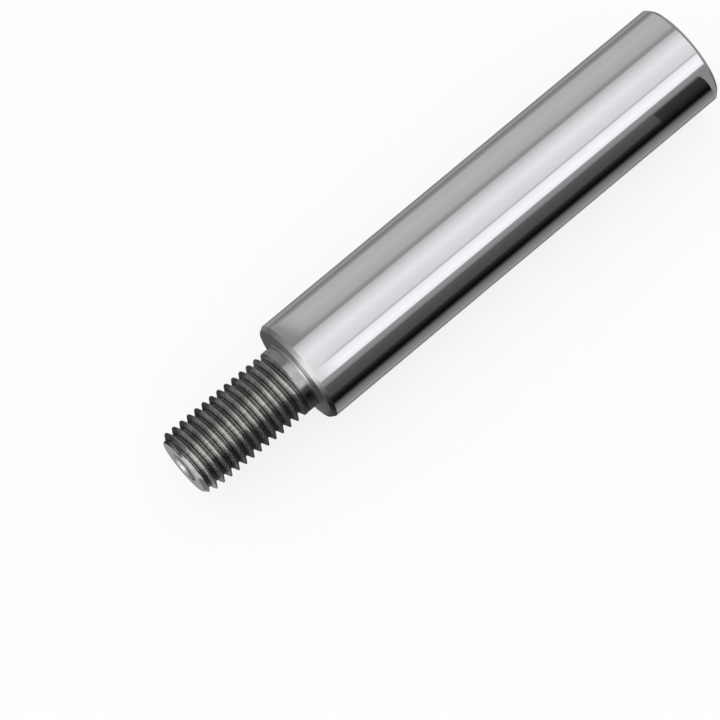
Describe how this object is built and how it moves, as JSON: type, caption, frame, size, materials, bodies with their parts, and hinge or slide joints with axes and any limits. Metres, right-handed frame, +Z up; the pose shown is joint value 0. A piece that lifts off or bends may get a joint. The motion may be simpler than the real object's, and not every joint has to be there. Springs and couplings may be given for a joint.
{
  "type": "linear shaft",
  "caption": "Hard-chromed round steel shaft for linear motion, ground along its body, with a shoulder and a right-hand threaded stud at one end.",
  "frame": {"origin": "centre of the plain end's flat face, on the shaft's axis", "axes": "+X along the shaft's axis, from the plain end towards the threaded stud; +Z up as the shaft lies on a level floor, which is 15 mm below the axis"},
  "size_m": [0.172, 0.03, 0.03],
  "materials": {
    "chromed_steel": "body hard-chrome plated, ground and polished; stud, neck and shoulder face bare turned steel"
  },
  "bodies": {
    "root": {"shaft": "chromed_steel"}
  },
  "joints": []
}
